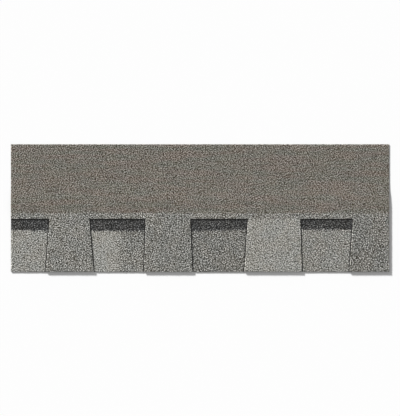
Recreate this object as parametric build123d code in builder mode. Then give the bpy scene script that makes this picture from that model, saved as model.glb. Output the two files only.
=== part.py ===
from build123d import *
from math import asin, degrees
import os

# Laminated asphalt shingle, lying flat with its weather face up.
# A notched overlay sheet is bonded to a plain backing strip, and its headlap drapes down to the deck.
# X runs along the butt edge, Y runs up the roof slope and Z points out of the roof. Sizes are in mm.
# The origin is the middle of the shingle's plan, on the surface that it lies on.

# Whole shingle
length = 1000.0
height = 337.0

# Sheets
overlay_thickness = 2.4
backing_thickness = 2.2
backing_height = 165.0

# Cut-outs and tabs, in order from the left end. Widths are measured along the root of the cut-outs.
# The fourth cut-out takes what the others leave of the length.
cutout_height = 140.0
cutout_1_width = 102.5
tab_1_width = 104.5
cutout_2_width = 149.5
tab_2_width = 117.5
cutout_3_width = 153.0
tab_3_width = 138.0
tab_4_width = 95.5

# How far each side of a tab spreads from its root to its tip. The right end cuts the fourth tab square.
tab_1_left_flare = 10.0
tab_1_right_flare = 12.0
tab_2_left_flare = 4.5
tab_2_right_flare = 6.0
tab_3_left_flare = 10.0
tab_3_right_flare = 4.5
tab_4_left_flare = 10.0

# Radius that the rotary knife leaves in the root corners of the cut-outs
root_radius = 1.5

# Drape of the headlap off the upper edge of the backing
drape_setback = 2.0
drape_run = 80.0

# Laminating adhesive: rows of squeezed beads under each tab and one line in the common bond above
adhesive_thickness = 0.3
bead_width = 10.0
bead_row_pitch = 48.0
first_bead_row = 12.0
bead_side_inset = 7.0
bond_line_end_inset = 8.0

# Self-seal dashes on the back, along the butt edge
dash_length = 64.0
dash_width = 12.0
dash_thickness = 0.8
dash_pitch = 76.0
dash_end_inset = 6.0
dash_butt_inset = 6.0
dash_corner_radius = 4.0
dash_rim_bevel = 0.35

# Clear release film on the back of the headlap
film_thickness = 0.1
film_width = 38.0
film_top_inset = 2.0

# Planes and lines that the pieces share
left_end = -length / 2
right_end = length / 2
butt_edge = -height / 2
top_edge = height / 2
root_line = butt_edge + cutout_height
backing_top_edge = butt_edge + backing_height
backing_underside = dash_thickness
adhesive_underside = backing_underside + backing_thickness
overlay_underside = adhesive_underside + adhesive_thickness
headlap_underside = film_thickness

# The drape is two equal arcs, tangent to each other and to the flat stretches before and after
drape_start = backing_top_edge + drape_setback
drape_drop = overlay_underside - headlap_underside
drape_radius = (drape_run**2 + drape_drop**2) / (4 * drape_drop)
drape_angle = degrees(asin(drape_run / 2 / drape_radius))

# Each tab as the X of its left and right side at the root, and the flare of each side
tab_1_left = left_end + cutout_1_width
tab_1_right = tab_1_left + tab_1_width
tab_2_left = tab_1_right + cutout_2_width
tab_2_right = tab_2_left + tab_2_width
tab_3_left = tab_2_right + cutout_3_width
tab_3_right = tab_3_left + tab_3_width
tab_4_left = right_end - tab_4_width
tabs = [
    (tab_1_left, tab_1_right, tab_1_left_flare, tab_1_right_flare),
    (tab_2_left, tab_2_right, tab_2_left_flare, tab_2_right_flare),
    (tab_3_left, tab_3_right, tab_3_left_flare, tab_3_right_flare),
    (tab_4_left, right_end, tab_4_left_flare, 0.0),
]

os.makedirs("parts", exist_ok=True)


def tab_sides(tab, distance_up):
    """X of a tab's left and right side at a distance up from the butt edge."""
    left, right, left_flare, right_flare = tab
    spread = 1 - distance_up / cutout_height
    return left - left_flare * spread, right + right_flare * spread


# Overlay sheet: the draped profile of the web, with the cut-outs punched through its lower part
with BuildPart() as overlay_sheet:
    with BuildSketch(Plane.YZ):
        with BuildLine():
            over_backing = Line((butt_edge, overlay_underside), (drape_start, overlay_underside))
            bend_down = JernArc(over_backing @ 1, over_backing % 1, drape_radius, -drape_angle)
            bend_level = JernArc(bend_down @ 1, bend_down % 1, drape_radius, drape_angle)
            Line(bend_level @ 1, (top_edge, headlap_underside))
            offset(amount=overlay_thickness, side=Side.LEFT, closed=True)
        make_face()
    extrude(amount=length / 2, both=True)
    with BuildSketch(Plane.XY.offset(overlay_underside)) as cutouts:
        # The first cut-out has no tab on its left: it runs out past the shingle's end
        left_root = left_tip = left_end - cutout_1_width
        for tab in tabs:
            right_root = tab_sides(tab, cutout_height)[0]
            right_tip = tab_sides(tab, 0)[0]
            with BuildLine():
                Polyline(
                    (left_tip, butt_edge),
                    (left_root, root_line),
                    (right_root, root_line),
                    (right_tip, butt_edge),
                    close=True,
                )
            make_face()
            left_root = tab_sides(tab, cutout_height)[1]
            left_tip = tab_sides(tab, 0)[1]
        fillet(cutouts.vertices().group_by(Axis.Y)[-1], root_radius)
    extrude(amount=overlay_thickness, mode=Mode.SUBTRACT)
overlay_sheet.part.label = "overlay_sheet"
export_step(overlay_sheet.part, "parts/overlay_sheet.step")


# Backing sheet: a plain strip under the tabs and the common bond
with BuildPart() as backing_sheet:
    with BuildSketch(Plane.XY.offset(backing_underside)):
        with Locations((0, butt_edge + backing_height / 2)):
            Rectangle(length, backing_height)
    extrude(amount=backing_thickness)
backing_sheet.part.label = "backing_sheet"
export_step(backing_sheet.part, "parts/backing_sheet.step")


# Laminating adhesive: each bead ends short of the tab's slanted sides by the same inset
with BuildPart() as laminating_adhesive:
    with BuildSketch(Plane.XY.offset(adhesive_underside)):
        rows_above_first = int((cutout_height - bead_width - first_bead_row) // bead_row_pitch)
        for tab in tabs:
            for row in range(rows_above_first + 1):
                row_height = first_bead_row + row * bead_row_pitch
                left, right = tab_sides(tab, row_height)
                with Locations(((left + right) / 2, butt_edge + row_height)):
                    SlotOverall(right - left - 2 * bead_side_inset, bead_width)
        with Locations((0, (root_line + backing_top_edge) / 2)):
            SlotOverall(length - 2 * bond_line_end_inset, bead_width)
    extrude(amount=adhesive_thickness)
laminating_adhesive.part.label = "laminating_adhesive"
export_step(laminating_adhesive.part, "parts/laminating_adhesive.step")


# Sealant strip: dashes with rounded corners, their lower rims bevelled where the hot asphalt settled
with BuildPart() as sealant_strip:
    with BuildSketch():
        usable_length = length - 2 * dash_end_inset
        dash_count = int((usable_length - dash_length) // dash_pitch) + 1
        with Locations((0, butt_edge + dash_butt_inset + dash_width / 2)):
            with GridLocations(dash_pitch, dash_width, dash_count, 1):
                RectangleRounded(dash_length, dash_width, dash_corner_radius)
    extrude(amount=dash_thickness)
    chamfer(sealant_strip.edges().group_by(Axis.Z)[0], dash_rim_bevel)
sealant_strip.part.label = "sealant_strip"
export_step(sealant_strip.part, "parts/sealant_strip.step")


# Release film: the headlap's lowest face, level with the underside of the dashes
with BuildPart() as release_tape:
    with BuildSketch():
        with Locations((0, top_edge - film_top_inset - film_width / 2)):
            Rectangle(length, film_width)
    extrude(amount=film_thickness)
release_tape.part.label = "release_tape"
export_step(release_tape.part, "parts/release_tape.step")
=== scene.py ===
"""Looks of a laminated asphalt shingle that lies flat with its weather face up.

Two granule-surfaced sheets, the asphalt that bonds them, the sealant dashes and the release film on the
back, and the pale stage that they are seen on. All lengths are in metres and all colours are linear.
"""

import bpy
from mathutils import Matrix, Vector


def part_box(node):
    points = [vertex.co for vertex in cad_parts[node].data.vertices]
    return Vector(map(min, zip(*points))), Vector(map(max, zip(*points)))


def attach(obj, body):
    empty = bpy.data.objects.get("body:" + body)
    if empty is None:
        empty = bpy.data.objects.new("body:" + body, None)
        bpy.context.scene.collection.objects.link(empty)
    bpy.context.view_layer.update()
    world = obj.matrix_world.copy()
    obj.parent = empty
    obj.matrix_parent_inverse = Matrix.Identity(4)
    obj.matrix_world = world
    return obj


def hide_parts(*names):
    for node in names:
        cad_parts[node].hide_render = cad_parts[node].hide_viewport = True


bl_info = {
    "name": "Laminated Shingle",
    "version": (1, 0, 0),
    "blender": (4, 5, 0),
    "location": "3D View > Sidebar > Shingle",
    "description": "Dresses the solids of a laminated asphalt shingle",
    "category": "Object",
}

from functools import cached_property

import bpy
import numpy as np
from bpy.props import FloatProperty, FloatVectorProperty, IntProperty, PointerProperty
from mathutils import Vector

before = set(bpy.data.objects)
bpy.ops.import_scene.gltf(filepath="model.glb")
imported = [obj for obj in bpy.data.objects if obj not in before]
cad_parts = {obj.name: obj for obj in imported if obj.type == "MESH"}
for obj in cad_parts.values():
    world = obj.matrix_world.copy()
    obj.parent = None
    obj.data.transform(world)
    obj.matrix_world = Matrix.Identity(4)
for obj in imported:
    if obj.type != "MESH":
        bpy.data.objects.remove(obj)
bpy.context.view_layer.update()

PICTURE_SIZE = (400, 416)
SENSOR_WIDTH_MM = 36.0
MAP_NAME = "OFBake"


# Sizes that come from the solids


def node_points(name):
    """A solid's points, with a row of x, y and z for each."""
    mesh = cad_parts[name].data
    points = np.empty(len(mesh.vertices) * 3, np.float32)
    mesh.vertices.foreach_get("co", points)
    return points.reshape(-1, 3).astype(float)


class Solids:
    """Lines and levels of the two sheets, read from the solids they dress."""

    def __init__(self):
        points = node_points("overlay_sheet")
        x, y, z = points.T
        near = 1e-5
        self.left, self.right = x.min(), x.max()
        self.butt, self.top = y.min(), y.max()
        self.length = self.right - self.left
        self.backing_low, self.backing_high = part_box("backing_sheet")
        # The cut-outs' upper corners are the highest points below the backing's top edge
        lower_part = y < self.backing_high.y - near
        self.root = y[lower_part].max()
        on_butt = y < self.butt + near
        self.underside = z[on_butt].min()
        self.thickness = z.max() - self.underside
        self.headlap_underside = z.min()
        bend = y[(y > self.backing_high.y + near) & (y < self.top - near)]
        self.bend_start, self.bend_end = bend.min(), bend.max()
        # A tab's side runs from its corner on the butt edge through the start of the round at its root
        tips = np.unique(x[on_butt].round(6))
        self.sides = tips.copy()
        rounds = points[lower_part & ~on_butt]
        widest_flare = 0.02
        for i, tip in enumerate(tips[:-1]):
            beside = rounds[np.abs(rounds[:, 0] - tip) < widest_flare]
            start = beside[beside[:, 1].argmin()]
            self.sides[i] += (start[0] - tip) * (self.root - self.butt) / (start[1] - self.butt)
        # X of the left end, of every tab's sides and of the right end, at the root and at the tip
        self.root_breaks = np.append(self.left, self.sides)
        self.tip_breaks = np.append(self.left, tips)

    def lean(self, y):
        """Share of the way that a tab's side has gone from its place at the root to its place at the tip."""
        return np.clip((self.root - y) / (self.root - self.butt), 0, 1)

    def overlay_underside(self, y):
        """Height of the overlay's underside: flat, down two equal tangent arcs, and flat again.

        For a run L and a drop D both arcs have the radius (L*L + D*D) / (4*D).
        """
        run = self.bend_end - self.bend_start
        drop = self.underside - self.headlap_underside
        radius = (run * run + drop * drop) / (4 * drop)
        along = np.clip(y - self.bend_start, 0, run)
        from_end = np.minimum(along, run - along)
        fall = radius - np.sqrt(radius * radius - from_end * from_end)
        return np.where(along < run / 2, self.underside - fall, self.headlap_underside + fall)


solids = Solids()


# Meshes


def joined(*parts):
    """Arrays or single numbers as one array, whose last axis holds a value of each."""
    return np.stack(np.broadcast_arrays(*parts), axis=-1)


def mesh_piece(name, points, faces, slots, flat, materials, places=None):
    """An object at the origin from an array of points and a list of arrays of faces.

    Slots and flat give each array's material slot and whether its faces are shaded flat. Places are each
    corner's place on the map that the finishes are drawn on.
    """
    corners = np.concatenate([found.ravel() for found in faces])
    counts = [len(found) for found in faces]
    sizes = np.repeat([found.shape[1] for found in faces], counts)
    mesh = bpy.data.meshes.new(name)
    mesh.vertices.add(len(points))
    mesh.vertices.foreach_set("co", points.astype(np.float32).ravel())
    mesh.loops.add(len(corners))
    mesh.loops.foreach_set("vertex_index", corners.astype(np.int32))
    mesh.polygons.add(len(sizes))
    mesh.polygons.foreach_set("loop_start", (np.cumsum(sizes) - sizes).astype(np.int32))
    mesh.polygons.foreach_set("material_index", np.repeat(slots, counts).astype(np.int32))
    mesh.polygons.foreach_set("use_smooth", ~np.repeat(flat, counts).astype(bool))
    if places is not None:
        layer = mesh.uv_layers.new(name=MAP_NAME)
        layer.uv.foreach_set("vector", np.concatenate(places).astype(np.float32).ravel())
    mesh.update(calc_edges=True)
    for material in materials:
        mesh.materials.append(material)
    piece = bpy.data.objects.new(name, mesh)
    bpy.context.scene.collection.objects.link(piece)
    return piece


def set_marks(piece, marks):
    """Gives a piece's points further numbers or vectors that its materials read, by name."""
    for label, values in marks.items():
        kind, field = ("FLOAT_VECTOR", "vector") if values.ndim == 2 else ("FLOAT", "value")
        attribute = piece.data.attributes.new(label, kind, "POINT")
        attribute.data.foreach_set(field, values.astype(np.float32).ravel())


def spaced(breaks, pitch, rim):
    """Positions along one direction: each break, two more in the rims beside it, and even steps between."""
    found = []
    for start, end in zip(breaks[:-1], breaks[1:]):
        steps = max(2, int(round((end - start - 2 * rim) / pitch)) + 1)
        inner = np.linspace(start + rim, end - rim, steps)
        found.append(np.concatenate([[start, start + rim / 3], inner, [end - rim / 3]]))
    return np.append(np.concatenate(found), breaks[-1])


def web_grid(pitch, rim, breaks):
    """A sheet's grid as its columns' places at the root, its rows' places, and the grids of X and Y.

    Columns are spaced between the tabs' sides and rows between the breaks given. A column leans from its
    place at the root to its place at the tip, and stands straight above the root.
    """
    at_root = spaced(solids.root_breaks, pitch, rim)
    at_tip = np.interp(at_root, solids.root_breaks, solids.tip_breaks)
    up = spaced(breaks, pitch, rim)
    x = at_root + (at_tip - at_root) * solids.lean(up)[:, None]
    return at_root, up, x, np.broadcast_to(up[:, None], x.shape)


def beside_lines(positions, lines):
    """True at the positions that are on one of the lines or next to one."""
    on_line = np.isin(positions, lines)
    return on_line | np.roll(on_line, 1) | np.roll(on_line, -1)


def around_each(grid):
    """Nine shifted copies of a grid, which put each point's neighbours and the point itself in its place."""
    rows, columns = grid.shape
    padded = np.pad(grid, 1)
    return np.stack([padded[i : i + rows, j : j + columns] for i in range(3) for j in range(3)])


# A sheet's layers of points, as shares of its thickness, and its material slots
LEVELS = np.array([1.0, 0.68, 0.34, 0.0])
LOWEST = len(LEVELS) - 1
UPPER_SLOT, WALL_SLOT, LOWER_SLOT = 0, 1, 2
# How far the points next to the rim drop, and how far each layer of a wall wanders alone, for the rim's 1
DROP_BESIDE = 0.55
OWN_WANDER = 0.4
# The finishes' map: a strip for each side's walls, one for the lower side, two halves for the upper side
WALL_STRIP, BAND_HEIGHT, LINE_HEIGHT = 0.0115, 0.28, 0.98
LOWER_START, LOWER_HEIGHT = 0.05, 0.146
UPPER_START, HALF_PITCH, HALF_HEIGHT = 0.2, 0.4, 0.396
# Each side of a cell: the step to its neighbour, then the wall's first and last corner, seen from outside
CELL_SIDES = (
    ((-1, 0), (0, 0), (0, 1)),
    ((0, 1), (0, 1), (1, 1)),
    ((1, 0), (1, 1), (1, 0)),
    ((0, -1), (1, 0), (0, 0)),
)


def closed_sheet(name, x, y, low, high, keep, materials, seed, wander, relief=0.0, rim_drop=0.0, marks=()):
    """A closed sheet on a grid of rows and columns, each array a function of the row and the column.

    Its upper side is (x, y, high) and its lower side (x, y, low). Cells that keep leaves out are open.
    Wherever a kept cell meets the outside, three bands of wall close the sheet. The walls stray by wander,
    the upper side's rim drops by rim_drop, and the upper side rises and falls by relief. Marks are further
    arrays that the materials read, by name. The materials are the upper side's, the walls' and the lower
    side's.
    """
    random = np.random.default_rng(seed)
    rows, columns = x.shape
    open_cells = np.pad(~keep, 1, constant_values=True)
    corners = (open_cells[:-1, :-1], open_cells[1:, :-1], open_cells[:-1, 1:], open_cells[1:, 1:])
    open_around = np.sum(corners, axis=0)
    rim = (open_around > 0) & (open_around < 4)
    beside = around_each(rim).any(0) & ~rim & (open_around == 0)
    high = high + relief * random.uniform(-1, 1, x.shape)
    high = high - rim_drop * (rim + DROP_BESIDE * beside)
    slow = [wander * around_each(random.uniform(-1, 1, x.shape)).mean(0) * 2 for _ in range(2)]
    layers = []
    for level in LEVELS:
        own = random.uniform(-1, 1, (2, rows, columns)) * wander * OWN_WANDER * (0 < level < 1)
        height = low + (high - low) * level
        layers.append(joined(x + (slow[0] + own[0]) * rim, y + (slow[1] + own[1]) * rim, height))
    points = np.stack(layers).reshape(-1, 3)

    at = np.arange(len(points)).reshape(len(layers), rows, columns)
    across = (x[-1] - x[-1, 0]) / (x[-1, -1] - x[-1, 0])
    up = (y[:, 0] - y[0, 0]) / (y[-1, 0] - y[0, 0])
    middle = columns // 2
    faces, slots, places = [], [], []

    def add_faces(row, column, steps, layer, slot, place):
        """A face for each row and column given, from its corners' steps and layers, and its place."""
        steps, layer = np.array(steps), np.array(layer)
        r, c = row[:, None] + steps[:, 0], column[:, None] + steps[:, 1]
        faces.append(at[layer, r, c])
        slots.append(slot)
        places.append(joined(*place(r, c, layer)).reshape(-1, 2))

    def upper_place(r, c, layer):
        right = c[:, :1] >= middle
        start, end = np.where(right, across[middle], 0), np.where(right, 1, across[middle])
        return (across[c] - start) / (end - start), UPPER_START + HALF_PITCH * right + HALF_HEIGHT * up[r]

    def lower_place(r, c, layer):
        return across[c], LOWER_START + LOWER_HEIGHT * up[r]

    row, column = np.nonzero(keep)
    add_faces(row, column, ((0, 0), (0, 1), (1, 1), (1, 0)), (0,) * 4, UPPER_SLOT, upper_place)
    add_faces(row, column, ((1, 0), (1, 1), (0, 1), (0, 0)), (LOWEST,) * 4, LOWER_SLOT, lower_place)
    for strip, (step, first, last) in enumerate(CELL_SIDES):
        meets = open_cells[1 + step[0] : rows + step[0], 1 + step[1] : columns + step[1]]
        row, column = np.nonzero(keep & meets)
        lines = np.unique(column)

        def wall_place(r, c, layer):
            """A wall along the web lies as it stands, and those across it lie one after the other."""
            line = np.searchsorted(lines, c[:, :1] - first[1])
            along = across[c] if step[0] else (line + LINE_HEIGHT * up[r]) / len(lines)
            return along, WALL_STRIP * (strip + BAND_HEIGHT * layer)

        for band in range(LOWEST):
            layer = (band + 1, band + 1, band, band)
            add_faces(row, column, (first, last, last, first), layer, WALL_SLOT, wall_place)
    used, found = np.unique(np.concatenate(faces), return_inverse=True)
    faces = np.split(found.reshape(-1, 4), np.cumsum([len(group) for group in faces])[:-1])
    piece = mesh_piece(name, points[used], faces, slots, np.equal(slots, WALL_SLOT), materials, places)
    # The rim mark tells the upper side's material where to paint the rim's painted highlight
    marks = dict(marks, rim=rim | beside)
    marks = {label: np.tile(values.ravel(), len(LEVELS)) for label, values in marks.items()}
    marks["depth"] = np.repeat(LEVELS, rows * columns)
    set_marks(piece, {label: values[used] for label, values in marks.items()})
    return piece


# Nodes


def grey(value):
    return (value, value, value, 1.0)


def rgba(colour):
    return (*colour, 1.0)


class Value:
    """What a node puts out. Arithmetic with it adds a Math node to its tree."""

    # A numpy number on the left leaves the arithmetic to the Value
    __array_ufunc__ = None

    def __init__(self, tree, socket):
        self.tree = tree
        self.socket = socket

    def __add__(self, other):
        return self.tree.math("ADD", self, other)

    def __sub__(self, other):
        return self.tree.math("SUBTRACT", self, other)

    def __rsub__(self, other):
        return self.tree.math("SUBTRACT", other, self)

    def __mul__(self, other):
        return self.tree.math("MULTIPLY", self, other)

    def __truediv__(self, other):
        return self.tree.math("DIVIDE", self, other)

    def __rtruediv__(self, other):
        return self.tree.math("DIVIDE", other, self)

    def __pow__(self, other):
        return self.tree.math("POWER", self, other)


class Tree:
    """A node tree in the making. Its methods add nodes and give the Values that those put out."""

    def __init__(self, tree):
        self.tree = tree

    def feed(self, socket, given):
        """Links a Value to the socket, or sets the socket to a plain number, vector or colour."""
        if isinstance(given, Value):
            self.tree.links.new(given.socket, socket)
        else:
            socket.default_value = given

    def node(self, kind, inputs=(), **settings):
        """A new node with its settings and what feeds its inputs, by number or by name."""
        made = self.tree.nodes.new(kind)
        for label, setting in settings.items():
            setattr(made, label, setting)
        for key, given in dict(inputs).items():
            self.feed(made.inputs[key], given)
        return made

    def add(self, kind, inputs=(), **settings):
        """The Values that a new node puts out, by number and by name."""
        outputs = self.node(kind, inputs, **settings).outputs
        return {key: Value(self, socket) for key, socket in (*enumerate(outputs), *outputs.items())}

    def math(self, operation, *values, clamp=False):
        return self.add("ShaderNodeMath", enumerate(values), operation=operation, use_clamp=clamp)[0]

    def vector_math(self, operation, *values):
        return self.add("ShaderNodeVectorMath", enumerate(values), operation=operation)[0]

    def scaled(self, vector, factor):
        return self.add("ShaderNodeVectorMath", {0: vector, 3: factor}, operation="SCALE")[0]

    def ramped(self, value, low, high, to_low=0.0, to_high=1.0, smooth=True):
        """The value's place between low and high, carried to the range from to_low to to_high."""
        kind = "SMOOTHSTEP" if smooth else "LINEAR"
        given = enumerate((value, low, high, to_low, to_high))
        return self.add("ShaderNodeMapRange", given, interpolation_type=kind)[0]

    def mixed(self, factor, low, high):
        return self.add("ShaderNodeMix", {0: factor, 6: low, 7: high}, data_type="RGBA")[2]

    def noise(self, vector, scale, detail):
        return self.add("ShaderNodeTexNoise", {"Vector": vector, "Scale": scale, "Detail": detail})[0]

    def cells(self, vector, scale):
        """The Voronoi cells' Distance, Color and Position."""
        return self.add("ShaderNodeTexVoronoi", {"Vector": vector, "Scale": scale})

    def channels(self, colour):
        return self.add("ShaderNodeSeparateColor", {0: colour})


class Finish(Tree):
    """A material in the making, with its Principled shader. Its patterns may follow a mark of the piece."""

    def __init__(self, name, place_mark=None):
        self.material = bpy.data.materials.new(name)
        self.material.use_nodes = True
        super().__init__(self.material.node_tree)
        self.shader = self.tree.nodes["Principled BSDF"].inputs
        self.place_mark = place_mark

    @cached_property
    def place(self):
        """The mark's vector, or else the object coordinates."""
        if self.place_mark:
            return self.add("ShaderNodeAttribute", attribute_name=self.place_mark)["Vector"]
        return self.add("ShaderNodeTexCoord")["Object"]

    def mark(self, name):
        return self.add("ShaderNodeAttribute", attribute_name=name)["Fac"]

    def pattern(self, scale, detail):
        """Noise over the surface, at one scale or at a scale for each of X, Y and Z."""
        if isinstance(scale, tuple):
            stretched = self.add("ShaderNodeMapping", {"Vector": self.place, "Scale": scale})[0]
            return self.noise(stretched, 1.0, detail)
        return self.noise(self.place, scale, detail)

    def group(self, name, **inputs):
        """What the named group puts out, with its inputs given by name, a space for each underscore."""
        given = {label.replace("_", " "): value for label, value in inputs.items()}
        given["Vector"] = self.place
        return self.add("ShaderNodeGroup", given, node_tree=bpy.data.node_groups[name])

    def done(self, colour, rough, height, distance):
        """The material, with this colour, roughness and bump on its shader."""
        bump = self.add("ShaderNodeBump", {"Height": height, "Distance": distance})[0]
        for label, value in (("Base Color", colour), ("Roughness", rough), ("Normal", bump)):
            self.feed(self.shader[label], value)
        return self.material


def new_group(name, inputs):
    """A node group that puts out a colour, a height and a roughness: its tree, its inputs and its outputs.

    An input's kind follows from its default: a number, a colour, or a vector where there is none.
    """
    made = bpy.data.node_groups.new(name, "ShaderNodeTree")
    kinds = {float: "NodeSocketFloat", tuple: "NodeSocketColor", type(None): "NodeSocketVector"}
    for label, default in inputs.items():
        socket = made.interface.new_socket(label, in_out="INPUT", socket_type=kinds[type(default)])
        if default is not None:
            socket.default_value = default
    for label, kind in (("Color", kinds[tuple]), ("Height", kinds[float]), ("Roughness", kinds[float])):
        made.interface.new_socket(label, in_out="OUTPUT", socket_type=kind)
    tree = Tree(made)
    return tree, tree.add("NodeGroupInput"), tree.node("NodeGroupOutput").inputs


def granule_bed_group():
    """Mineral granules pressed into asphalt.

    Each cell of a Voronoi pattern is one granule. Its number r is its own random number, less a share of
    how far the mean of eight granules in a ring round it is above the middle, because the blend is well
    mixed. With g the contrast of the blend, its reflectance is tone * (g + 1) * r ** g, whose mean is the
    tone. Each granule is lighter at its crown and darker towards its edge: partly the black asphalt that
    shows between granules, partly painted shade in the creases and painted light on the crowns. The bed's
    hue drifts slowly between tan and slate. Half of a granule's departure from grey grows with its own
    reflectance and half with the tone, so pale granules are the greyest.
    """
    inputs = {
        "Vector": None,
        "Granule Size": 0.0018,
        "Tone": 0.23,
        "Contrast": 1.5,
        "Mixing": 1.2,
        "Tint": grey(1.0),
        "Hue Drift": 0.5,
    }
    tree, given, result = new_group("Granule Bed", inputs)
    fine = 1.0 / given["Granule Size"]
    cells = tree.cells(given["Vector"], fine)
    own = tree.channels(cells["Color"])
    ring_in_granules, ring_count = 1.6, 8
    reach = given["Granule Size"] * ring_in_granules
    around = []
    for turn in np.arange(ring_count) * 2 * np.pi / ring_count:
        step = tree.scaled((np.cos(turn), np.sin(turn), 0.0), reach)
        there = tree.vector_math("ADD", cells["Position"], step)
        around.append(tree.channels(tree.cells(there, fine)["Color"])[0])
    excess = sum(around[1:], around[0]) / ring_count - 0.5
    number = tree.math("SUBTRACT", own[0], excess * given["Mixing"], clamp=True)
    share = number ** given["Contrast"]
    gain = given["Tone"] * (given["Contrast"] + 1.0)
    # Lighter crowns and darker creases: partly black asphalt between granules, partly painted light and
    # shade
    crown_light, crease_light = 1.25, 0.5
    crease = tree.ramped(cells["Distance"], 0.45, 0.78, crown_light, crease_light)
    reflectance = gain * share * crease

    cool, warm = (0.99, 1.0, 1.01, 1.0), (1.01, 1.0, 0.985, 1.0)
    slate, tan = (0.985, 1.002, 1.015, 1.0), (1.015, 0.998, 0.975, 1.0)
    drift = tree.ramped(tree.noise(given["Vector"], 18.0, 2.0), 0.38, 0.62)
    hue = tree.mixed(given["Hue Drift"], grey(1.0), tree.mixed(drift, slate, tan))
    tinted = tree.vector_math("MULTIPLY", given["Tint"], tree.mixed(own[1], cool, warm))
    tinted = tree.vector_math("MULTIPLY", tinted, hue)
    growing = 0.5
    lit = tree.scaled(tree.mixed(growing, grey(1.0), tinted), reflectance)
    cast = tree.vector_math("SUBTRACT", tinted, (1.0, 1.0, 1.0))
    coloured = tree.vector_math("MULTIPLY_ADD", cast, given["Tone"] * (1 - growing), lit)
    tree.feed(result["Color"], tree.vector_math("MAXIMUM", coloured, (0.0, 0.0, 0.0)))

    dome = 1.0 - cells["Distance"]
    tree.feed(result["Height"], dome * tree.ramped(own[2], 0.0, 1.0, 0.55, 1.0, smooth=False))
    tree.feed(result["Roughness"], tree.ramped(own[1], 0.0, 1.0, 0.72, 0.95, smooth=False))


def asphalt_group():
    """Black asphalt with pale filler dust: a fine noise lifts its colour and breaks its gloss."""
    inputs = {"Vector": None, "Base": (0.014, 0.013, 0.012, 1.0), "Dust": 0.3}
    tree, given, result = new_group("Filled Asphalt", inputs)
    filler = (0.16, 0.15, 0.135, 1.0)
    grain = tree.noise(given["Vector"], 900.0, 3.0)
    smear = tree.noise(given["Vector"], 70.0, 3.0)
    dusty = tree.ramped(grain, 0.5, 0.72) * given["Dust"]
    tree.feed(result["Color"], tree.mixed(dusty, given["Base"], filler))
    tree.feed(result["Height"], smear * 0.7 + grain)
    tree.feed(result["Roughness"], smear * 0.35 + dusty * 0.5)


# Materials


def tone_along(finish, x, places, tones):
    """The blend's tone along the web, which fades evenly from the tone at each place to the next one's."""
    ramp = finish.node("ShaderNodeValToRGB", {0: (x - solids.left) / solids.length})
    elements = ramp.color_ramp.elements
    while len(elements) < len(places):
        elements.new(0.5)
    for element, at, tone in zip(elements, places, tones):
        element.position = (at - solids.left) / solids.length
        element.color = grey(tone)
    return Value(finish, ramp.outputs[0])


def web_place(finish, blend):
    """X and Y on the web with the ragged wander of where granules fall, and the mottle of the blend."""
    split = finish.add("ShaderNodeSeparateXYZ", {0: finish.place})
    wander = finish.pattern(110.0, 3.0) - 0.5
    patch = finish.pattern(35.0, 3.0)
    mottle = finish.ramped(patch, 0.25, 0.75, 1 - blend.mottle, 1 + blend.mottle, smooth=False)
    return split[0] + wander * blend.drop_wander, split[1] + wander * blend.band_wander, mottle


def contrast_of(finish, tone):
    """Dark blends hold a few pale granules among many dark ones, and light blends are more even."""
    dark_tone, dark_contrast = 0.064, 3.9
    light_tone, light_contrast = 0.29, 1.15
    return finish.ramped(tone, dark_tone, light_tone, dark_contrast, light_contrast, smooth=False)


def granule_face(finish, tone, contrast, tint, sheets, blend):
    """Colour, roughness and height of a face of granules. Granules at the rim are painted lighter, a painted
    highlight along the cut edges.
    """
    bed = finish.group(
        "Granule Bed",
        Granule_Size=sheets.granule_size,
        Tone=tone,
        Contrast=contrast,
        Tint=tint,
        Hue_Drift=blend.hue_drift,
    )
    finish.shader["Specular IOR Level"].default_value = 0.25
    # Granules along a cut rim are painted lighter: a painted highlight along every cut edge
    rim_highlight_gain = 1.35
    painted_rim_highlight = finish.ramped(finish.mark("rim"), 0.0, 1.0, 1.0, rim_highlight_gain)
    return finish.scaled(bed["Color"], painted_rim_highlight), bed["Roughness"], bed["Height"]


def overlay_face_material(sheets, blend, place_mark=None):
    """The overlay's weather face: blended tabs, a grey strip above their roots and a brown headlap."""
    finish = Finish("overlay_granules", place_mark)
    x, y, mottle = web_place(finish, blend)
    tabs = tone_along(finish, x, solids.sides[:-1], np.repeat(blend.tab_tones, 2))
    root_fade, strip_fade = 0.004, 0.003
    strip_top = solids.root + blend.strip_height
    above_root = finish.ramped(y, solids.root - root_fade, solids.root + root_fade)
    headlap = finish.ramped(y, strip_top - strip_fade, strip_top + strip_fade)
    tone = finish.mixed(above_root, tabs, grey(blend.strip_tone))
    tone = finish.scaled(finish.mixed(headlap, tone, grey(blend.headlap_tone)), mottle)
    streak = finish.ramped(finish.pattern((7.0, 60.0, 1.0), 3.0), 0.35, 0.65)
    brown = finish.mixed(streak, rgba(blend.headlap_rust), rgba(blend.headlap_olive))
    tint = finish.mixed(headlap, rgba(blend.granule_tint), brown)
    contrast = contrast_of(finish, tone) + headlap * blend.headlap_calm
    return finish.done(*granule_face(finish, tone, contrast, tint, sheets, blend), sheets.granule_bump)


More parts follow.
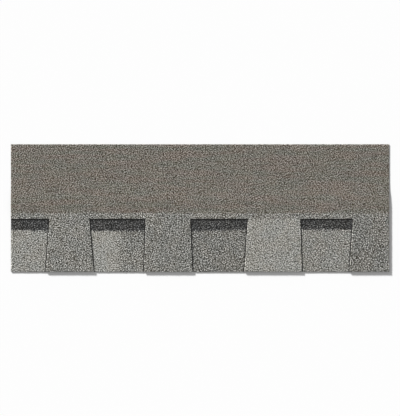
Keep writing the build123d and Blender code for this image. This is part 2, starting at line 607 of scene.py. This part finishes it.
def backing_face_material(sheets, blend, place_mark=None):
    """The backing's face in the cut-outs: its own blend, and the dark shadow band under their roots."""
    finish = Finish("backing_granules", place_mark)
    x, y, mottle = web_place(finish, blend)
    sides = solids.sides
    # The second cut-out has two tones, and each of the others has one
    change = sides[1] + (sides[2] - sides[1]) * blend.drop_change
    half = blend.drop_fade / 2
    places = (sides[0], sides[1], change - half, change + half, *sides[2:6])
    tones = np.take(blend.cutout_tones, (0, 1, 1, 2, 2, 3, 3, 4))
    cutouts = finish.scaled(tone_along(finish, x, places, tones), mottle)
    # The band's lower edge is a slow wave along the web, as the drum that drops its granules isn't true
    turn = (x - blend.band_crest) * (2 * np.pi / blend.band_wavelength)
    edge = solids.root - blend.band_height - finish.math("COSINE", turn) * blend.band_wave
    band = finish.ramped(y - edge, -blend.band_fade, blend.band_fade)
    tone = finish.mixed(band, cutouts, grey(blend.band_tone))
    tint = finish.mixed(band, rgba(blend.granule_tint), rgba(blend.band_tint))
    colour, rough, height = granule_face(finish, tone, contrast_of(finish, tone), tint, sheets, blend)
    # Black asphalt covers the granules along the tabs' sides and roots, raggedly: partly asphalt bled out
    # from under the tabs, partly painted shade beside their edges
    asphalt = finish.group("Filled Asphalt", Dust=0.1)
    ragged = finish.pattern(420.0, 2.0) - 0.5
    bled_and_shaded = finish.ramped(finish.mark("bleed_and_shade") + ragged * 0.9, 0.4, 0.6)
    colour = finish.mixed(bled_and_shaded, colour, asphalt["Color"])
    rough = finish.mixed(bled_and_shaded, rough, asphalt["Roughness"])
    sunk = height * finish.ramped(bled_and_shaded, 0.0, 1.0, 1.0, 0.3)
    return finish.done(colour, rough, sunk, sheets.granule_bump)


def cut_edge_material(sheets):
    """A knife-cut edge: granules at the top, dusty asphalt, and the pale glass mat in the middle."""
    finish = Finish("cut_edge")
    depth = finish.mark("depth")
    level = depth + (finish.pattern(500.0, 3.0) - 0.5) * 0.35
    asphalt = finish.group("Filled Asphalt", Dust=0.45)
    bed = finish.group("Granule Bed", Granule_Size=sheets.granule_size * 0.8, Tone=0.16)
    from_mat = finish.math("ABSOLUTE", depth - 0.5)
    fibre = finish.pattern((350.0, 350.0, 2500.0), 2.0)
    mat = finish.ramped(from_mat, 0.05, 0.1, 1.0, 0.0) * finish.ramped(fibre, 0.48, 0.6)
    glass = (0.26, 0.23, 0.18, 1.0)
    colour = finish.mixed(mat, asphalt["Color"], glass)
    colour = finish.mixed(finish.ramped(level, 0.7, 0.8), colour, bed["Color"])
    rough = finish.ramped(level, 0.6, 0.85, 0.55, 0.85)
    return finish.done(colour, rough, bed["Height"] + asphalt["Height"], 0.0003)


def sanded_back_material(back):
    """The back of a sheet: asphalt dusted with fine sand, in faint streaks along the web."""
    finish = Finish("sanded_back")
    asphalt = finish.group("Filled Asphalt", Dust=0.5)
    sand = finish.cells(finish.place, 1 / back.sand_size)
    own = finish.channels(sand["Color"])
    streak = finish.pattern((9.0, 120.0, 9.0), 4.0)
    patch = finish.pattern(28.0, 5.0)
    cover = finish.ramped(streak * 0.4 + patch * 0.6, 0.3, 0.7, 0.6, 0.95)
    mask = finish.math("LESS_THAN", own[0], cover) * finish.ramped(sand["Distance"], 0.35, 0.6, 1.0, 0.0)
    sand_colour = finish.mixed(own[1], rgba(back.sand_dark), rgba(back.sand_light))
    colour = finish.mixed(mask, asphalt["Color"], sand_colour)
    rough = finish.ramped(mask, 0.0, 1.0, 0.45, 0.9)
    return finish.done(colour, rough, mask * own[2], 0.00025)


def asphalt_material(name, dust, bump):
    """Self-seal or laminating asphalt: smooth, black and glossy, with a little dust on it."""
    finish = Finish(name)
    finish.shader["Specular IOR Level"].default_value = 0.3
    asphalt = finish.group("Filled Asphalt", Dust=dust)
    return finish.done(asphalt["Color"], asphalt["Roughness"], asphalt["Height"], bump)


def film_material(back):
    """Thin clear film, ironed onto the sand: it dulls and brightens where it bridges the grains."""
    finish = Finish("clear_film")
    grip = finish.pattern(1 / back.sand_size, 2.0)
    bridge = finish.pattern((60.0, 200.0, 60.0), 5.0)
    bridged = finish.ramped(bridge, 0.35, 0.75)
    colour = finish.mixed(bridged, rgba(back.film_clear), rgba(back.film_milky))
    finish.feed(finish.shader["Alpha"], finish.ramped(grip, 0.4, 0.7, 0.3, 0.5) + bridged * 0.12)
    rough = finish.ramped(grip, 0.35, 0.65, 0.1, 0.28)
    return finish.done(colour, rough, grip + bridge, 0.0003)


# Settings


def setting(kind, **fixed):
    """A kind of property that takes its name, its description and its default, in this order."""

    def made(name, description, default, **more):
        return kind(name=name, description=description, default=default, **fixed, **more)

    return made


Length = setting(FloatProperty, unit="LENGTH")
Angle = setting(FloatProperty, subtype="ANGLE")
Share = setting(FloatProperty, subtype="FACTOR", min=0.0, max=1.0)
Shares = setting(FloatVectorProperty, min=0.0, max=1.0)
Number = setting(FloatProperty)
Count = setting(IntProperty, min=0)
Colour = setting(FloatVectorProperty, subtype="COLOR", size=3)


class ShingleSheetSettings(bpy.types.PropertyGroup):
    grid_pitch: Length("Grid pitch", "Spacing of the points of both sheets", 0.0027, min=0.0005)
    rim_width: Length("Rim width", "Width of the rounded rim along a cut edge", 0.0024)
    rim_drop: Length("Rim drop", "How far the granules fall away at a cut edge", 0.0004)
    edge_wander: Length("Edge wander", "How far a cut edge strays from its line", 0.00028)
    # The band past the tabs is partly bonding asphalt and partly painted shade beside their edges
    bleed_and_shade_width: Length("Bleed width", "Where the bonding asphalt shows past a tab", 0.0043)
    relief: Length("Relief", "Rise and fall of the granule bed", 0.00010)
    granule_size: Length("Granule size", "Width of a mineral granule", 0.0018)
    granule_bump: Length("Granule bump", "Height that the granules are shaded with", 0.0006)
    stone_pitch: Length("Stone pitch", "Mean spacing of the granules that stand proud", 0.0054)
    stone_squash: Share("Stone squash", "Height of a stone for its width", 0.75)
    stone_sink: Share("Stone sink", "How deep a stone's middle is, in half widths", 0.25)
    seed: Count("Seed", "Seed of the sheets' random relief", 7)


class ShingleBlendSettings(bpy.types.PropertyGroup):
    tab_tones: Shares("Tabs", "Mean reflectance of each tab", (0.217, 0.206, 0.280, 0.189), size=4)
    cutout_tones: Shares(
        "Cut-outs",
        "Tones of the first, the second's left and right parts, the third and the fourth",
        (0.263, 0.292, 0.2055, 0.189, 0.2355),
        size=5,
    )
    drop_change: Share("Drop change", "Share of the second cut-out left of its change of blend", 0.53)
    drop_fade: Length("Drop fade", "Length over which one blend fades into the next", 0.022)
    drop_wander: Length("Drop wander", "Raggedness of a change of blend", 0.06)
    band_tone: Share("Shadow band", "Tone of the band under the roots", 0.052)
    band_height: Length("Band height", "Height of the shadow band that shows", 0.0308)
    band_fade: Length("Band fade", "Softness of the shadow band's lower edge", 0.0032)
    band_wander: Length("Band wander", "Raggedness of the shadow band's lower edge", 0.012)
    band_wave: Length("Band wave", "Slow rise and fall of the band's lower edge", 0.0022)
    band_wavelength: Length("Band wavelength", "Length of that rise and fall", 1.1)
    band_crest: Length("Band crest", "X of the band's widest place", -0.19)
    strip_tone: Share("Grey strip", "Tone of the strip above the roots", 0.213)
    strip_height: Length("Strip height", "Height of the grey strip above the roots", 0.015)
    headlap_tone: Share("Headlap", "Tone of the headlap's granules", 0.153)
    headlap_calm: Number("Headlap calm", "What the headlap adds to a blend's contrast", -1.35)
    mottle: Share("Mottle", "Patchiness of a blend", 0.02)
    hue_drift: Share("Hue drift", "Strength of the tan and slate drift", 0.8)
    granule_tint: Colour("Granules", "Hue of the blended granules", (1.015, 1.0, 0.92))
    band_tint: Colour("Band hue", "Hue of the shadow band", (1.0, 1.0, 0.98))
    headlap_rust: Colour("Headlap rust", "Reddest hue of the headlap", (1.13, 0.98, 0.84))
    headlap_olive: Colour("Headlap olive", "Greenest hue of the headlap", (1.03, 1.0, 0.85))


class ShingleBackSettings(bpy.types.PropertyGroup):
    sand_size: Length("Sand size", "Width of a grain of the back's sand", 0.0006)
    sand_dark: Colour("Dark sand", "Darkest sand", (0.10, 0.096, 0.088))
    sand_light: Colour("Light sand", "Lightest sand", (0.36, 0.34, 0.31))
    film_clear: Colour("Clear film", "Film that lies close", (0.24, 0.25, 0.26))
    film_milky: Colour("Milky film", "Film that bridges grains", (0.50, 0.51, 0.52))
    film_pitch: Length("Film pitch", "Spacing of the film's points", 0.004)
    film_ripple: Length("Film ripple", "Depth of the film's ripples", 0.00004)
    dash_outline: Length("Dash outline", "How far a dash's outline strays", 0.0008)
    dash_rings: Count("Dash rings", "Rings of faces on a dash", 9)
    dash_spokes: Count("Dash spokes", "Points round a dash", 64)
    seed: Count("Seed", "Seed of the back's random shapes", 19)


class ShingleStageSettings(bpy.types.PropertyGroup):
    lens: Number("Lens", "Focal length in millimetres", 150.0, unit="CAMERA")
    span: Share("Span", "Share of the picture's width that the shingle takes", 0.945)
    light_azimuth: Angle("Light azimuth", "Direction of the key light, from +X towards +Y", 2.25)
    light_elevation: Angle("Light elevation", "Height of the key light", 0.37)
    light_spread: Angle("Light spread", "Apparent width of the key light", 0.14)
    key_share: Share("Key share", "Part of the light on a level face that is the key's", 0.66)
    floor_seen: Share("Floor", "Brightness of the floor that the camera sees", 0.985)
    floor_lit: Share("Floor bounce", "Brightness of the floor for the object", 0.7)
    floor_size: Length("Floor size", "Half the floor's width", 15.0)


# Operators


class SHINGLE_OT_node_groups(bpy.types.Operator):
    """Makes the node groups that the materials share."""

    bl_idname = "shingle.node_groups"
    bl_label = "Node groups"

    def execute(self, context):
        granule_bed_group()
        asphalt_group()
        return {"FINISHED"}


class SHINGLE_OT_overlay_sheet(bpy.types.Operator):
    """Makes the overlay sheet: the headlap and, below the roots, only the tabs."""

    bl_idname = "shingle.overlay_sheet"
    bl_label = "Overlay sheet"

    def execute(self, context):
        sheets = context.scene.shingle_sheets
        breaks = (solids.butt, solids.root, solids.bend_start, solids.top)
        at_root, up, x, y = web_grid(sheets.grid_pitch, sheets.rim_width, breaks)
        low = solids.overlay_underside(y)
        # Stretches of the web are a cut-out and a tab in turn, from the cut-out at the left end
        stretch = np.searchsorted(solids.root_breaks, (at_root[:-1] + at_root[1:]) / 2) - 1
        below_root = (up[:-1] + up[1:]) / 2 < solids.root
        keep = ~(below_root[:, None] & (stretch % 2 == 0)[None, :])
        piece = closed_sheet(
            "overlay_web",
            x,
            y,
            low,
            low + solids.thickness,
            keep,
            (
                overlay_face_material(sheets, context.scene.shingle_blend),
                cut_edge_material(sheets),
                sanded_back_material(context.scene.shingle_back),
            ),
            sheets.seed,
            sheets.edge_wander,
            sheets.relief,
            sheets.rim_drop,
        )
        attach(piece, "root")
        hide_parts("overlay_sheet")
        return {"FINISHED"}


class SHINGLE_OT_backing_sheet(bpy.types.Operator):
    """Makes the backing sheet, a plain strip as long as the overlay. It comes after the overlay sheet."""

    bl_idname = "shingle.backing_sheet"
    bl_label = "Backing sheet"

    def execute(self, context):
        sheets = context.scene.shingle_sheets
        lowest, highest = solids.backing_low, solids.backing_high
        breaks = (lowest.y, solids.root, highest.y)
        at_root, up, x, y = web_grid(sheets.grid_pitch, sheets.bleed_and_shade_width, breaks)
        low = np.full(x.shape, lowest.z)
        # Rows and columns beside the tabs' sides and roots, where black asphalt is painted, partly as
        # painted shade
        bleed_and_shade = beside_lines(up, solids.root)[:, None] | beside_lines(at_root, solids.sides[:-1])
        piece = closed_sheet(
            "backing_web",
            x,
            y,
            low,
            low + highest.z - lowest.z,
            np.ones((len(up) - 1, len(at_root) - 1), bool),
            (
                backing_face_material(sheets, context.scene.shingle_blend),
                bpy.data.materials["cut_edge"],
                bpy.data.materials["sanded_back"],
            ),
            sheets.seed + 1,
            sheets.edge_wander,
            sheets.relief,
            sheets.rim_drop,
            {"bleed_and_shade": bleed_and_shade},
        )
        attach(piece, "root")
        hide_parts("backing_sheet")
        return {"FINISHED"}


# A stone's points lie on two rings of five between two poles, with one ring turned by half a step
RING_LATITUDE = 26.57
STONE_LATITUDES = (90, *[RING_LATITUDE] * 5, *[-RING_LATITUDE] * 5, -90)
STONE_LONGITUDES = (0, *range(0, 360, 72), *range(36, 396, 72), 0)
STONE_POINTS = len(STONE_LATITUDES)


class SHINGLE_OT_proud_granules(bpy.types.Operator):
    """Makes the coarser granules that stand proud of both faces, as stones sunk partly into them.

    A stone's point at the latitude a and the longitude b is r * (cos a cos b, cos a sin b, squash * sin a),
    where r is random for every point, and its height leans with x and y.
    """

    bl_idname = "shingle.proud_granules"
    bl_label = "Proud granules"

    def execute(self, context):
        sheets = context.scene.shingle_sheets
        random = np.random.default_rng(sheets.seed + 2)
        pitch = sheets.stone_pitch
        x, y = np.meshgrid(
            np.arange(solids.left + pitch / 2, solids.right, pitch),
            np.arange(solids.butt + pitch / 2, solids.top, pitch),
        )
        x = (x + random.uniform(-0.5, 0.5, x.shape) * pitch).ravel()
        y = (y + random.uniform(-0.5, 0.5, y.shape) * pitch).ravel()
        margin = (sheets.rim_width + sheets.granule_size) / 2
        inside = (x > solids.left + margin) & (x < solids.right - margin)
        inside &= (y > solids.butt + margin) & (y < solids.top - margin)
        # Whether each stone is in a tab or a cut-out, and clear of the sides of both
        flare = solids.tip_breaks - solids.root_breaks
        sides = solids.root_breaks + flare * solids.lean(y)[:, None]
        tab = (x[:, None] > sides).sum(1) % 2 == 0
        clear = (np.abs(x[:, None] - sides) > margin).all(1)
        headlap = y > solids.root + margin
        below = y < solids.root - margin
        on_overlay = inside & (headlap | (below & tab & clear))
        on_backing = inside & below & ~tab & clear
        top = np.where(on_backing, solids.backing_high.z, solids.overlay_underside(y) + solids.thickness)
        middles = joined(x, y, top)
        parts = (
            ("overlay_proud_granules", on_overlay, "overlay_granules", overlay_face_material),
            ("backing_proud_granules", on_backing, "backing_granules", backing_face_material),
        )
        for name, chosen, slot, face_material in parts:
            material = face_material(sheets, context.scene.shingle_blend, "middle")
            piece = self.stones(name, middles[chosen], sheets, random, material)
            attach(piece, "root")
        return {"FINISHED"}

    def stones(self, name, middles, sheets, random, material):
        """One piece of a stone at each middle."""
        count = len(middles)
        latitude = np.radians(STONE_LATITUDES)
        turn = np.radians(STONE_LONGITUDES) + random.uniform(0, 2 * np.pi, (count, 1))
        size = sheets.granule_size * random.uniform(0.38, 0.62, (count, 1))
        reach = size * random.uniform(0.78, 1.2, (count, STONE_POINTS))
        east, north = reach * np.cos(latitude) * np.cos(turn), reach * np.cos(latitude) * np.sin(turn)
        tilt = random.uniform(-0.4, 0.4, (2, count, 1))
        height = sheets.stone_squash * reach * np.sin(latitude) + tilt[0] * east + tilt[1] * north
        offset = joined(east, north, height - sheets.stone_sink * size)
        points = (middles[:, None] + offset).reshape(-1, 3)
        upper, lower = np.arange(1, 6), np.arange(6, 11)
        upper_next, lower_next = np.roll(upper, -1), np.roll(lower, -1)
        corners = (
            (0, upper, upper_next),
            (upper, lower, upper_next),
            (lower, lower_next, upper_next),
            (STONE_POINTS - 1, lower_next, lower),
        )
        triangles = np.concatenate([joined(*three) for three in corners])
        faces = (np.arange(count)[:, None, None] * STONE_POINTS + triangles).reshape(-1, 3)
        # Each stone has a square of its own on the map, and is drawn on it as seen from above
        squares = int(np.ceil(np.sqrt(count)))
        centre = joined(*np.divmod(np.arange(count), squares))[:, None] + 0.5
        plan = joined(east, north) / sheets.granule_size
        places = ((centre + 0.5 * plan) / squares).reshape(-1, 2)[faces.ravel()]
        piece = mesh_piece(name, points, [faces], (0,), (False,), (material,), [places])
        set_marks(piece, {"middle": np.repeat(middles, STONE_POINTS, axis=0)})
        return piece


class SHINGLE_OT_laminating_adhesive(bpy.types.Operator):
    """Finishes the squeezed asphalt between the sheets."""

    bl_idname = "shingle.laminating_adhesive"
    bl_label = "Laminating adhesive"

    def execute(self, context):
        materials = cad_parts["laminating_adhesive"].data.materials
        materials.clear()
        materials.append(asphalt_material("laminating_asphalt", 0.15, 0.0002))
        return {"FINISHED"}


class SHINGLE_OT_sealant_strip(bpy.types.Operator):
    """Makes the sealant dashes as settled pats of asphalt.

    With t the angle round a dash and s the share of the way out, its outline is a superellipse of exponent
    n, x = a * sign(cos t) * abs(cos t) ** (2 / n) and y alike with b and sin, scaled by s and by a slow
    wander. Its face hangs from the backing and is level in the middle: z = top * (1 - sqrt(1 - s ** m)).
    """

    bl_idname = "shingle.sealant_strip"
    bl_label = "Sealant strip"
    outline_exponent = 6
    rim_exponent = 8
    ring_crowding = 0.6
    narrowest_gap = 0.009

    def execute(self, context):
        back = context.scene.shingle_back
        lowest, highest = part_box("sealant_strip")
        left, right = self.ends()
        middle, half = (left + right) / 2, (right - left) / 2
        middle_y, half_y = (highest.y + lowest.y) / 2, (highest.y - lowest.y) / 2
        dashes, rings, spokes = len(middle), back.dash_rings, back.dash_spokes
        random = np.random.default_rng(back.seed)
        turn = np.linspace(0, 2 * np.pi, spokes, endpoint=False)
        out = np.linspace(0, 1, rings + 1)[1:] ** self.ring_crowding
        ways = np.stack([np.cos(turn), np.sin(turn)])
        round_x, round_y = np.sign(ways) * np.abs(ways) ** (2 / self.outline_exponent)
        # The outline wanders by seven waves, the slowest of two turns and the fastest of eight
        waves = np.arange(2, 9)
        phase = random.uniform(0, 2 * np.pi, (dashes, len(waves)))
        size = random.normal(0, 1, (dashes, len(waves))) / np.sqrt(waves)
        wander = (size[:, :, None] * np.sin(waves[:, None] * turn + phase[:, :, None])).sum(1)
        wander = back.dash_outline * (wander / np.abs(wander).max() - 0.5)
        x = middle[:, None, None] + ((half[:, None] + wander) * round_x)[:, None, :] * out[:, None]
        y = middle_y + ((half_y + wander) * round_y)[:, None, :] * out[:, None]
        fall = 1 - np.sqrt(1 - out**self.rim_exponent)
        around = joined(x, y, highest.z * fall[:, None]).reshape(dashes, -1, 3)
        hubs = [joined(middle, middle_y, z)[:, None] for z in (0.0, highest.z)]
        points = np.concatenate([around, *hubs], axis=1)
        ring = np.arange(rings * spokes).reshape(rings, spokes)
        after = np.roll(ring, -1, axis=1)
        hub = rings * spokes
        parts = (
            joined(ring[:-1], after[:-1], after[1:], ring[1:]).reshape(-1, 4),
            joined(hub, after[0], ring[0]),
            joined(hub + 1, ring[-1], after[-1]),
        )
        start = np.arange(dashes)[:, None, None] * (hub + 2)
        piece = mesh_piece(
            "sealant_dashes",
            points.reshape(-1, 3),
            [(start + part).reshape(-1, part.shape[1]) for part in parts],
            (0, 0, 0),
            (False, False, True),
            (asphalt_material("sealant_asphalt", 0.08, 0.0004),),
        )
        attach(piece, "root")
        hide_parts("sealant_strip")
        return {"FINISHED"}

    def ends(self):
        """X of the dashes' left and right ends. The solid has points only where their corners are round."""
        places = np.unique(node_points("sealant_strip")[:, 0].round(5))
        gaps = np.diff(places) > self.narrowest_gap
        starts, stops = places[np.append(True, gaps)], places[np.append(gaps, True)]
        return starts[0::2], stops[1::2]


class SHINGLE_OT_release_tape(bpy.types.Operator):
    """Makes the clear release film, rippled on its free side.

    Its ripple is a wave along the web times a wave across it, each of them bent by a slower one.
    """

    bl_idname = "shingle.release_tape"
    bl_label = "Release tape"

    def execute(self, context):
        back = context.scene.shingle_back
        sheets = context.scene.shingle_sheets
        lowest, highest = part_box("release_tape")
        along = spaced((lowest.x, highest.x), back.film_pitch, sheets.rim_width)
        up = spaced((lowest.y, highest.y), back.film_pitch, sheets.rim_width)
        x, y = np.meshgrid(along, up)
        ripple = np.sin(x * 310 + 3 * np.sin(y * 95)) * np.sin(y * 240 + 2 * np.sin(x * 41))
        piece = closed_sheet(
            "release_film",
            x,
            y,
            back.film_ripple * (1 + ripple) / 2,
            np.full(x.shape, highest.z),
            np.ones((len(up) - 1, len(along) - 1), bool),
            (film_material(back),) * 3,
            back.seed,
            sheets.edge_wander,
        )
        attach(piece, "root")
        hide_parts("release_tape")
        return {"FINISHED"}


class SHINGLE_OT_stage(bpy.types.Operator):
    """Makes the floor, the light and the camera that looks straight down."""

    bl_idname = "shingle.stage"
    bl_label = "Stage"

    def execute(self, context):
        stage = context.scene.shingle_stage
        self.floor(stage)
        self.lights(context, stage)
        self.camera(context, stage)
        context.scene.view_settings.view_transform = "Standard"
        return {"FINISHED"}

    def floor(self, stage):
        """A square that is a little darker for the object than for the camera."""
        finish = Finish("pale_floor")
        seen = finish.add("ShaderNodeLightPath")["Is Camera Ray"]
        shown = finish.mixed(seen, grey(stage.floor_lit), grey(stage.floor_seen))
        finish.feed(finish.shader["Base Color"], shown)
        finish.shader["Roughness"].default_value = 1.0
        finish.shader["Specular IOR Level"].default_value = 0.0
        corners = stage.floor_size * np.array([(-1, -1, 0), (1, -1, 0), (1, 1, 0), (-1, 1, 0)])
        mesh_piece("floor", corners, [np.arange(4)[None]], (0,), (True,), (finish.material,))

    def lights(self, context, stage):
        """A wide sun from the upper left, and a world that fills the shadows and looks white."""
        toward = Vector(
            (
                np.cos(stage.light_azimuth) * np.cos(stage.light_elevation),
                np.sin(stage.light_azimuth) * np.cos(stage.light_elevation),
                np.sin(stage.light_elevation),
            )
        )
        lamp = bpy.data.lights.new("key", "SUN")
        lamp.angle = stage.light_spread
        lamp.energy = np.pi * stage.key_share / toward.z
        key = bpy.data.objects.new("key", lamp)
        key.rotation_euler = toward.to_track_quat("Z", "Y").to_euler()
        context.scene.collection.objects.link(key)
        world = bpy.data.worlds.new("studio")
        world.use_nodes = True
        world.node_tree.nodes.clear()
        tree = Tree(world.node_tree)
        rays = tree.add("ShaderNodeLightPath")
        shown = tree.math("MAXIMUM", rays["Is Camera Ray"], rays["Is Glossy Ray"])
        shown = tree.math("MAXIMUM", shown, rays["Is Transmission Ray"])
        fill = tree.add("ShaderNodeBackground", {0: grey(1.0), 1: 1 - stage.key_share})[0]
        white = tree.add("ShaderNodeBackground", {0: grey(1.0), 1: 1.0})[0]
        both = tree.add("ShaderNodeMixShader", {0: shown, 1: fill, 2: white})[0]
        tree.node("ShaderNodeOutputWorld", {0: both})
        context.scene.world = world

    def camera(self, context, stage):
        """The sensor's width covers the picture's longer side, so the distance follows from the span."""
        lens = bpy.data.cameras.new("camera")
        lens.lens = stage.lens
        lens.sensor_width = SENSOR_WIDTH_MM
        lens.clip_end = 100.0
        longer_side = solids.length / stage.span * max(PICTURE_SIZE) / PICTURE_SIZE[0]
        eye = bpy.data.objects.new("camera", lens)
        eye.location = (
            (solids.left + solids.right) / 2,
            (solids.butt + solids.top) / 2,
            longer_side * stage.lens / SENSOR_WIDTH_MM,
        )
        context.scene.collection.objects.link(eye)
        context.scene.camera = eye


# The panel's sections: a label, the settings' name on the scene and their class, and the operators
SECTIONS = (
    ("Blend", "shingle_blend", ShingleBlendSettings, (SHINGLE_OT_node_groups,)),
    (
        "Sheets",
        "shingle_sheets",
        ShingleSheetSettings,
        (SHINGLE_OT_overlay_sheet, SHINGLE_OT_backing_sheet, SHINGLE_OT_proud_granules),
    ),
    (
        "Back",
        "shingle_back",
        ShingleBackSettings,
        (SHINGLE_OT_laminating_adhesive, SHINGLE_OT_sealant_strip, SHINGLE_OT_release_tape),
    ),
    ("Stage", "shingle_stage", ShingleStageSettings, (SHINGLE_OT_stage,)),
)


class SHINGLE_PT_panel(bpy.types.Panel):
    """Lists the settings and the pieces of the shingle."""

    bl_idname = "SHINGLE_PT_panel"
    bl_label = "Laminated shingle"
    bl_space_type = "VIEW_3D"
    bl_region_type = "UI"
    bl_category = "Shingle"

    def draw(self, context):
        for label, name, group, operators in SECTIONS:
            box = self.layout.box()
            box.label(text=label)
            for field in group.__annotations__:
                box.prop(getattr(context.scene, name), field)
            for operator in operators:
                box.operator(operator.bl_idname)


def register():
    for _, name, group, operators in SECTIONS:
        for made in (group, *operators):
            bpy.utils.register_class(made)
        setattr(bpy.types.Scene, name, PointerProperty(type=group))
    bpy.utils.register_class(SHINGLE_PT_panel)


def unregister():
    bpy.utils.unregister_class(SHINGLE_PT_panel)
    for _, name, group, operators in reversed(SECTIONS):
        delattr(bpy.types.Scene, name)
        for made in (*reversed(operators), group):
            bpy.utils.unregister_class(made)


def main():
    register()
    bpy.ops.shingle.node_groups()
    bpy.ops.shingle.overlay_sheet()
    bpy.ops.shingle.backing_sheet()
    bpy.ops.shingle.proud_granules()
    bpy.ops.shingle.laminating_adhesive()
    bpy.ops.shingle.sealant_strip()
    bpy.ops.shingle.release_tape()
    bpy.ops.shingle.stage()


if __name__ == "__main__":
    main()
